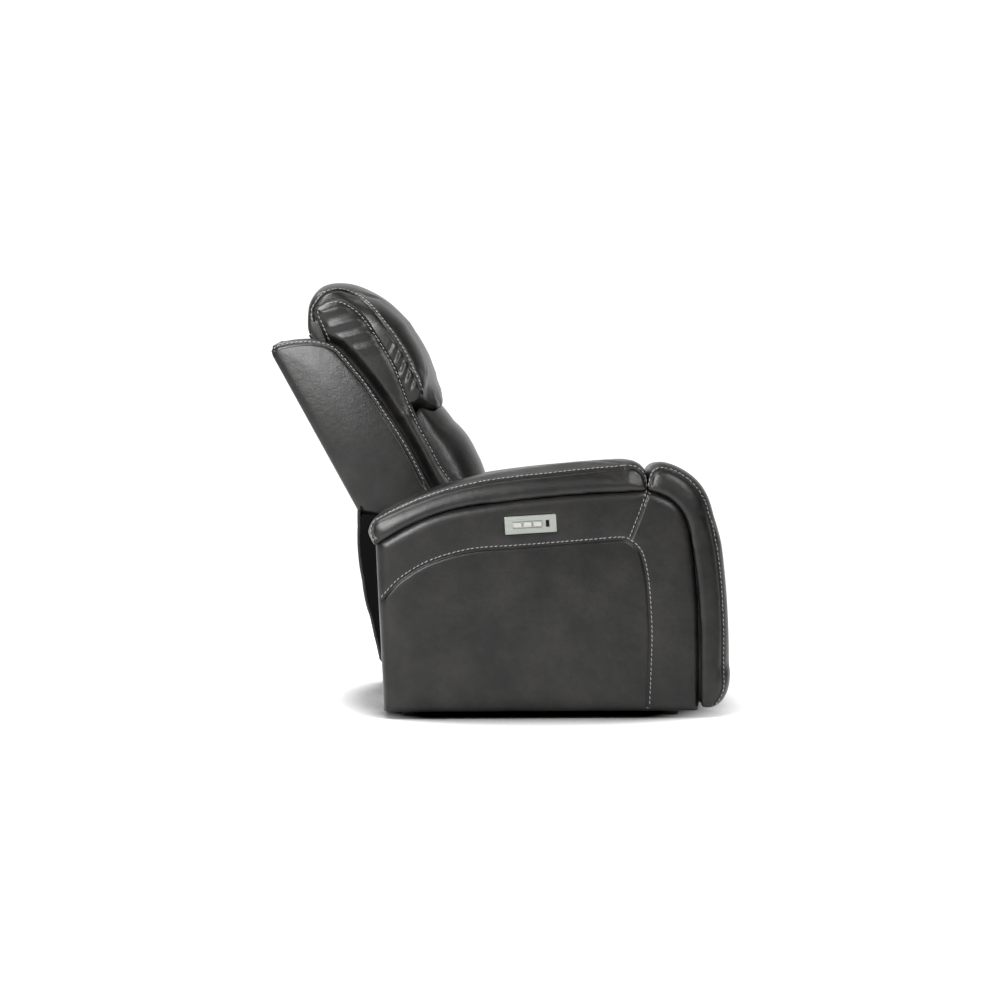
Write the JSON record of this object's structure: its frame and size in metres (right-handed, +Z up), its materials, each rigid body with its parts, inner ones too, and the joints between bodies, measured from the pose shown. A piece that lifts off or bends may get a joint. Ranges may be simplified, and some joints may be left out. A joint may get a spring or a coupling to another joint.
{
  "type": "power recliner armchair",
  "caption": "Leather power recliner with padded arms, reclining winged back, tilting headrest, scissor footrest folded under the seat, and a side control plate with buttons.",
  "frame": {"origin": "on the floor under the middle of the chair's bounding box", "axes": "+X is the way the sitter faces, +Y is the sitter's left, +Z is up"},
  "size_m": [1.085, 0.966, 1.0531],
  "materials": {
    "leather": "satin, mottled",
    "wood": "raw plywood",
    "webbing": "woven",
    "mechanism_steel": "black powder coat",
    "bright_steel": "zinc plated",
    "black_plastic": "matt",
    "button_plastic": "satin off-white",
    "control_metal": "brushed",
    "thread": "waxed sewing thread"
  },
  "bodies": {
    "base": {"arm_frame_right": "wood", "arm_frame_left": "wood", "arm_cover_right": "leather", "arm_cover_left": "leather", "arm_pad_right": "leather", "arm_pad_left": "leather", "arm_front_pad_right": "leather", "arm_front_pad_left": "leather", "base_rail_right": "mechanism_steel", "base_rail_left": "mechanism_steel", "tie_tubes": "mechanism_steel", "rear_rail": "wood", "feet": "black_plastic", "control_plate": "control_metal", "control_housing": "black_plastic", "usb_socket": "black_plastic", "rail_bolts": "bright_steel", "base_pivot_pins": "bright_steel"},
    "front_swing": {"front_swing_links": "mechanism_steel"},
    "rear_swing": {"rear_swing_links": "mechanism_steel"},
    "seat": {"seat_plate_right": "mechanism_steel", "seat_plate_left": "mechanism_steel", "seat_frame": "wood", "seat_webbing": "webbing", "seat_cushion": "leather", "motor_crossbar": "mechanism_steel", "footrest_motor": "black_plastic", "recline_motor": "black_plastic", "seat_pivot_pins": "bright_steel"},
    "back": {"back_frame": "mechanism_steel", "back_bracket_right": "mechanism_steel", "back_bracket_left": "mechanism_steel", "recline_torque_tube": "mechanism_steel", "wing_right": "leather", "wing_left": "leather", "back_panel": "leather", "lumbar_cushion": "leather", "back_webbing": "webbing", "headrest_motor": "black_plastic", "headrest_pivot_rod": "bright_steel", "headrest_hangers": "mechanism_steel"},
    "headrest": {"headrest_bracket": "mechanism_steel", "headrest_board": "wood", "headrest_cushion": "leather"},
    "flap": {"back_flap": "leather"},
    "lift": {"lift_links": "mechanism_steel", "footrest_torque_tube": "mechanism_steel"},
    "cross": {"cross_links": "mechanism_steel"},
    "tie": {"tie_links": "mechanism_steel"},
    "footrest": {"footrest_bracket_right": "mechanism_steel", "footrest_bracket_left": "mechanism_steel", "footrest_board": "wood", "footrest_pad": "leather"},
    "recline_drive": {"recline_rod": "bright_steel"},
    "footrest_drive": {"footrest_rod": "bright_steel"},
    "headrest_drive": {"headrest_rod": "bright_steel"},
    "recline_key": {"recline_button": "button_plastic"},
    "footrest_key": {"footrest_button": "button_plastic"},
    "headrest_key": {"headrest_button": "button_plastic"}
  },
  "joints": [
    {"name": "front_swing", "type": "hinge", "parent": "base", "child": "front_swing", "pos_m": [0.16256, 0, 0.13244], "axis": [0, 1, 0], "range_deg": [-3.74, 11.05]},
    {"name": "rear_swing", "type": "hinge", "parent": "base", "child": "rear_swing", "pos_m": [-0.01244, 0, 0.13244], "axis": [0, 1, 0], "range_deg": [-3.74, 11.05]},
    {"name": "seat_level", "type": "hinge", "parent": "front_swing", "child": "seat", "pos_m": [0.15, 0, 0.312], "axis": [0, 1, 0], "range_deg": [-11.05, 3.74]},
    {"name": "recline", "type": "hinge", "parent": "seat", "child": "back", "pos_m": [-0.11, 0, 0.365], "axis": [0, -1, 0], "range_deg": [-8, 25]},
    {"name": "flap_swing", "type": "hinge", "parent": "back", "child": "flap", "pos_m": [-0.32555, 0, 0.49016], "axis": [0, -1, 0], "range_deg": [-25.3, 8.3]},
    {"name": "headrest_tilt", "type": "hinge", "parent": "back", "child": "headrest", "pos_m": [-0.20926, 0, 0.78803], "axis": [0, 1, 0], "range_deg": [-8, 24]},
    {"name": "footrest_lift", "type": "hinge", "parent": "seat", "child": "lift", "pos_m": [0.29, 0, 0.322], "axis": [0, -1, 0], "range_deg": [0, 77]},
    {"name": "cross_fold", "type": "hinge", "parent": "lift", "child": "cross", "pos_m": [0.26847, 0, 0.19988], "axis": [0, -1, 0], "range_deg": [-155, 1]},
    {"name": "tie_fold", "type": "hinge", "parent": "lift", "child": "tie", "pos_m": [0.24693, 0, 0.07777], "axis": [0, -1, 0], "range_deg": [-155, 1]},
    {"name": "footrest_turn", "type": "hinge", "parent": "cross", "child": "footrest", "pos_m": [0.31492, 0, 0.31485], "axis": [0, -1, 0], "range_deg": [-1, 155]},
    {"name": "recline_drive", "type": "slide", "parent": "seat", "child": "recline_drive", "axis": [1, 0, 0], "range_m": [-0.01221, 0.03708]},
    {"name": "footrest_drive", "type": "slide", "parent": "seat", "child": "footrest_drive", "axis": [1, 0, 0], "range_m": [-0.0005, 0.08765]},
    {"name": "headrest_drive", "type": "slide", "parent": "back", "child": "headrest_drive", "axis": [-0.4818, 0, 0.8763], "range_m": [-0.02641, 0.07823]},
    {"name": "recline_press", "type": "slide", "parent": "base", "child": "recline_key", "axis": [0, 1, 0], "range_m": [0, 0.0015], "stiffness_N_per_m": 600},
    {"name": "footrest_press", "type": "slide", "parent": "base", "child": "footrest_key", "axis": [0, 1, 0], "range_m": [0, 0.0015], "stiffness_N_per_m": 600},
    {"name": "headrest_press", "type": "slide", "parent": "base", "child": "headrest_key", "axis": [0, 1, 0], "range_m": [0, 0.0015], "stiffness_N_per_m": 600}
  ],
  "couplings": [
    {"joint": "front_swing", "follows": "recline", "ratio": 0.43},
    {"joint": "rear_swing", "follows": "recline", "ratio": 0.43},
    {"joint": "seat_level", "follows": "recline", "ratio": -0.43},
    {"joint": "flap_swing", "follows": "recline", "ratio": -1},
    {"joint": "recline_drive", "follows": "recline", "m_per_rad": 0.08383},
    {"joint": "cross_fold", "follows": "footrest_lift", "ratio": -2},
    {"joint": "tie_fold", "follows": "footrest_lift", "ratio": -2},
    {"joint": "footrest_turn", "follows": "footrest_lift", "ratio": 2},
    {"joint": "footrest_drive", "follows": "footrest_lift", "m_per_rad": 0.06485},
    {"joint": "headrest_drive", "follows": "headrest_tilt", "m_per_rad": 0.18557}
  ]
}
